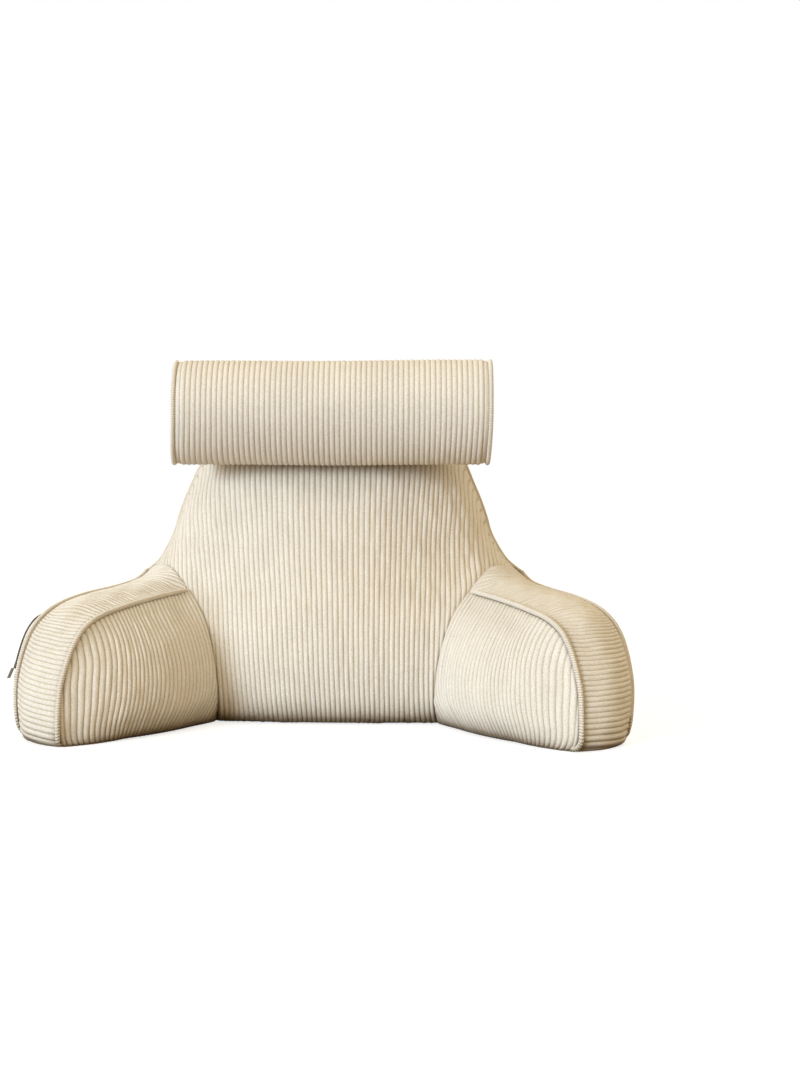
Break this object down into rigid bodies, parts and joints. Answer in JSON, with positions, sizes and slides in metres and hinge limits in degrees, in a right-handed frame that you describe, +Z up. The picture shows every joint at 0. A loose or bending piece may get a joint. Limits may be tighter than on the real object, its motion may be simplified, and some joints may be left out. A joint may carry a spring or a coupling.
{
  "type": "back support pillow",
  "caption": "Reading pillow in cream ribbed plush: a wedge back, splayed arms with piped gussets, and a cylindrical neck roll before the top of the back.",
  "frame": {"origin": "on the floor, under the centre of the whole pillow's bounding box", "axes": "+Z up; -Y the way the sitter faces; +X to the right as the pillow is seen from in front"},
  "size_m": [0.7528, 0.4331, 0.465],
  "materials": {
    "ribbed_plush": "wide-ribbed plush, cream",
    "piping": "piping in the same plush",
    "zip_coil": "dark grey coil",
    "zip_metal": "dark grey"
  },
  "bodies": {
    "root": {"back": "ribbed_plush", "arm_left": "ribbed_plush", "arm_right": "ribbed_plush", "neck_roll": "ribbed_plush", "arm_piping_left": "piping", "arm_piping_right": "piping", "outline_piping": "piping", "roll_piping_left": "piping", "roll_piping_right": "piping", "zip_chain": "zip_coil", "zip_slider": "zip_metal", "zip_pull": "zip_metal"}
  },
  "joints": []
}
